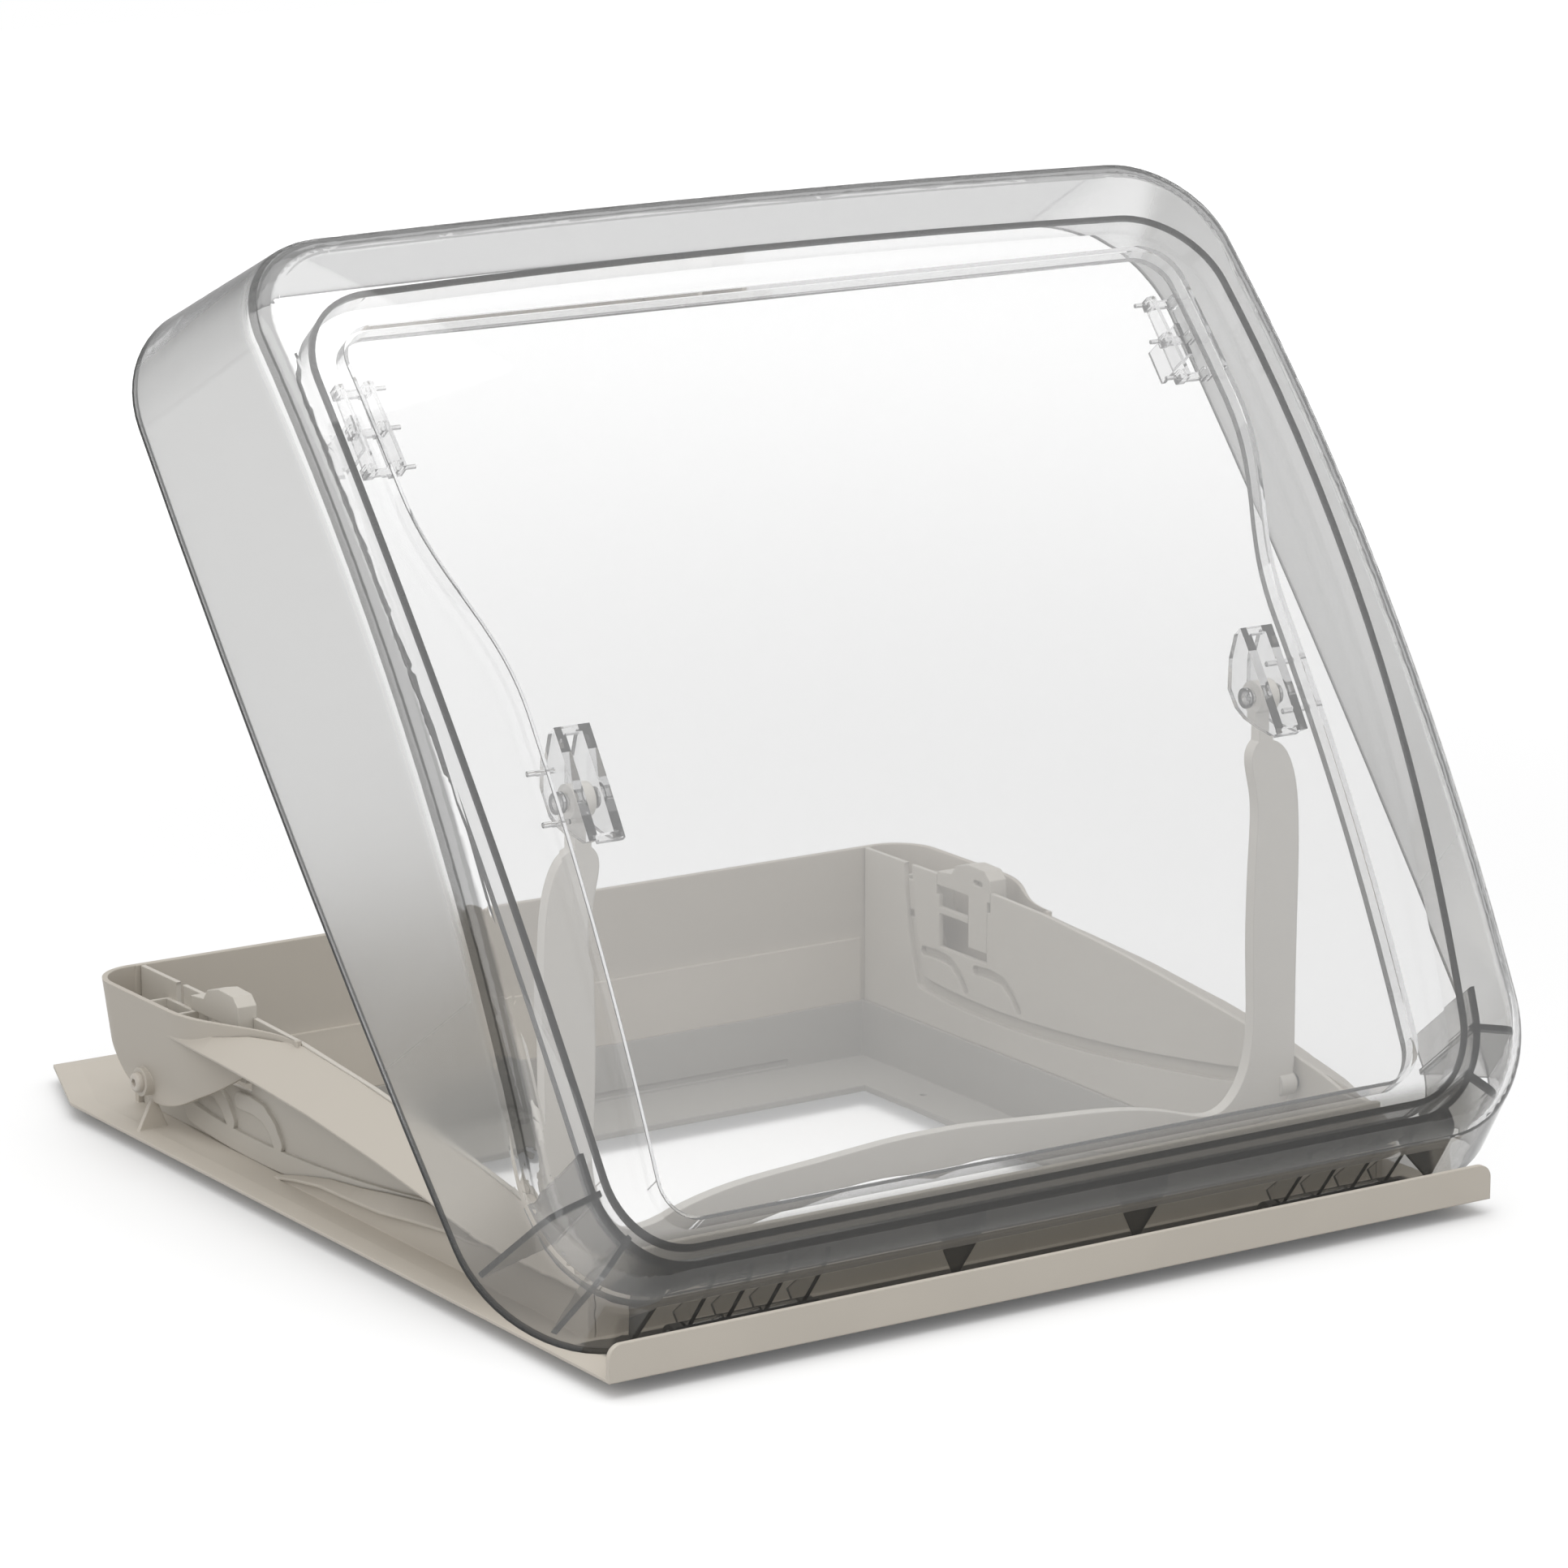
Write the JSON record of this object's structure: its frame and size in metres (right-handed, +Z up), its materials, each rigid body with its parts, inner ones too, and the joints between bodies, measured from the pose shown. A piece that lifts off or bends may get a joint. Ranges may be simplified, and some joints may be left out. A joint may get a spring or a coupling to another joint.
{
  "type": "roof vent",
  "caption": "Square caravan roof vent: a double-skinned clear dome hinged at the front of a beige frame, propped open by a U-shaped bow that runs in side tracks.",
  "frame": {"origin": "centre of the roof cut-out, on the roof skin, which is the flange underside", "axes": "+Z up out of the roof, +X to the right seen from the hinge side, +Y from the hinge to the back; the dome stands fully open at rest"},
  "size_m": [0.5368, 0.5267, 0.4641],
  "materials": {
    "frame_beige": "matte moulded",
    "guide_beige": "matte moulded",
    "bow_beige": "satin moulded",
    "clear": "clear grey, polished",
    "pin_grey": "gloss",
    "screw_cap": "matte",
    "steel": "plain zinc"
  },
  "bodies": {
    "frame": {"outer_frame": "frame_beige", "inner_frame": "frame_beige", "neck_screws": "steel", "guide_plate_left": "guide_beige", "guide_plate_right": "guide_beige", "latch_striker_left": "guide_beige", "latch_striker_right": "guide_beige", "side_screw_left": "screw_cap", "side_screw_right": "screw_cap", "hinge_pin_left": "steel", "hinge_pin_right": "steel"},
    "dome": {"outer_dome": "clear", "inner_dome": "clear", "front_rib_bar": "clear", "hinge_knuckle_left": "clear", "hinge_knuckle_right": "clear", "bow_bracket_left": "clear", "bow_bracket_right": "clear", "hook_bracket_left": "clear", "hook_bracket_right": "clear", "bow_pivot_pin_left": "pin_grey", "bow_pivot_pin_right": "pin_grey"},
    "bow": {"bow": "bow_beige", "slide_pin_left": "steel", "slide_pin_right": "steel"},
    "latch_slider_left": {"latch_slider_left": "guide_beige"},
    "latch_slider_right": {"latch_slider_right": "guide_beige"}
  },
  "joints": [
    {"name": "dome_hinge", "type": "hinge", "parent": "frame", "child": "dome", "pos_m": [0, -0.226, 0.008], "axis": [1, 0, 0], "range_deg": [-50.4, 0]},
    {"name": "bow_swing", "type": "hinge", "parent": "dome", "child": "bow", "pos_m": [0, -0.14351, 0.20828], "axis": [1, 0, 0], "range_deg": [0, 120.1]},
    {"name": "latch_slide_left", "type": "slide", "parent": "frame", "child": "latch_slider_left", "axis": [0, 0, 1], "range_m": [-0.0045, 0], "stiffness_N_per_m": 600, "springref_m": 0.002},
    {"name": "latch_slide_right", "type": "slide", "parent": "frame", "child": "latch_slider_right", "axis": [0, 0, 1], "range_m": [-0.0045, 0], "stiffness_N_per_m": 600, "springref_m": 0.002}
  ],
  "couplings": [
    {"joint": "bow_swing", "follows": "dome_hinge", "ratio": -2.381}
  ]
}
